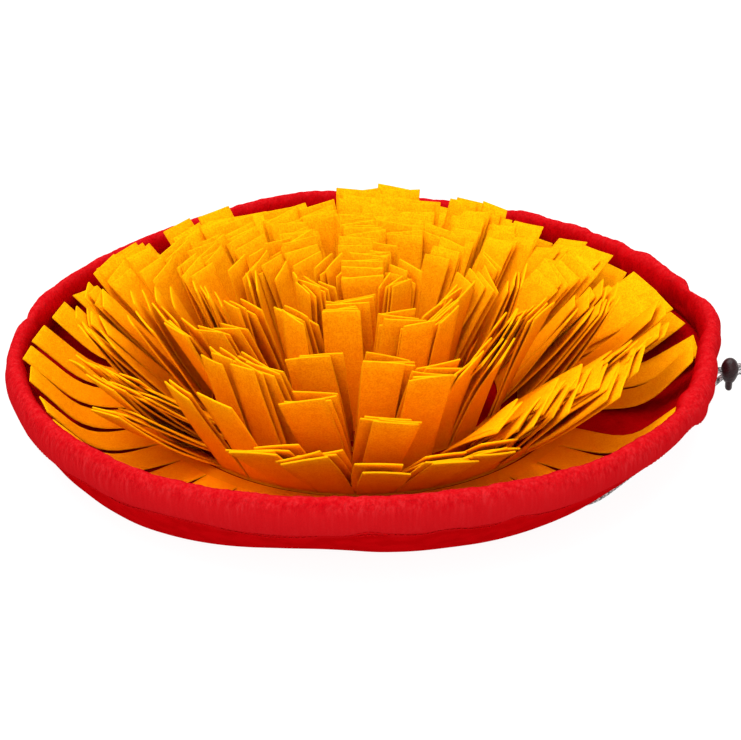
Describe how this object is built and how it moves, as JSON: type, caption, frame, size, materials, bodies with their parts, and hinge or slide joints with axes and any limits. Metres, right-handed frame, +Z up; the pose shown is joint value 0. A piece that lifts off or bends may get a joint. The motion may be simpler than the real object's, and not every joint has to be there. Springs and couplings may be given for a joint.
{
  "type": "snuffle mat",
  "caption": "Shallow round drawstring bowl of shiny cloth filled with rings of upright felt strips that hide dry pet food for a dog to nose out.",
  "frame": {"origin": "on the ground under the middle of the bowl", "axes": "+Z up, the front of the picture towards -Y, the cord lock at the right towards +X"},
  "size_m": [0.4604, 0.4417, 0.088],
  "materials": {
    "bowl_cloth": "shiny red coated nylon cloth, gathered at the rim",
    "felt": "mottled golden yellow felt",
    "drawcord": "braided cord flecked grey, white and black",
    "lock_plastic": "dark brown moulded plastic"
  },
  "bodies": {
    "mat": {"bowl_cloth": "bowl_cloth", "cord_lock_barrel": "lock_plastic", "drawcord_end_a": "drawcord", "drawcord_end_b": "drawcord", "felt_ring_01": "felt", "felt_ring_02": "felt", "felt_ring_03": "felt", "felt_ring_04": "felt", "felt_ring_05": "felt", "felt_ring_06": "felt", "felt_ring_07": "felt", "felt_ring_08": "felt", "felt_ring_09": "felt", "felt_ring_10": "felt", "felt_ring_11": "felt", "felt_centre": "felt"},
    "button": {"cord_lock_button": "lock_plastic"}
  },
  "joints": [
    {"name": "button_press", "type": "slide", "parent": "mat", "child": "button", "axis": [0, 0, 1], "range_m": [0, 0.003], "stiffness_N_per_m": 300, "springref_m": -0.001}
  ]
}
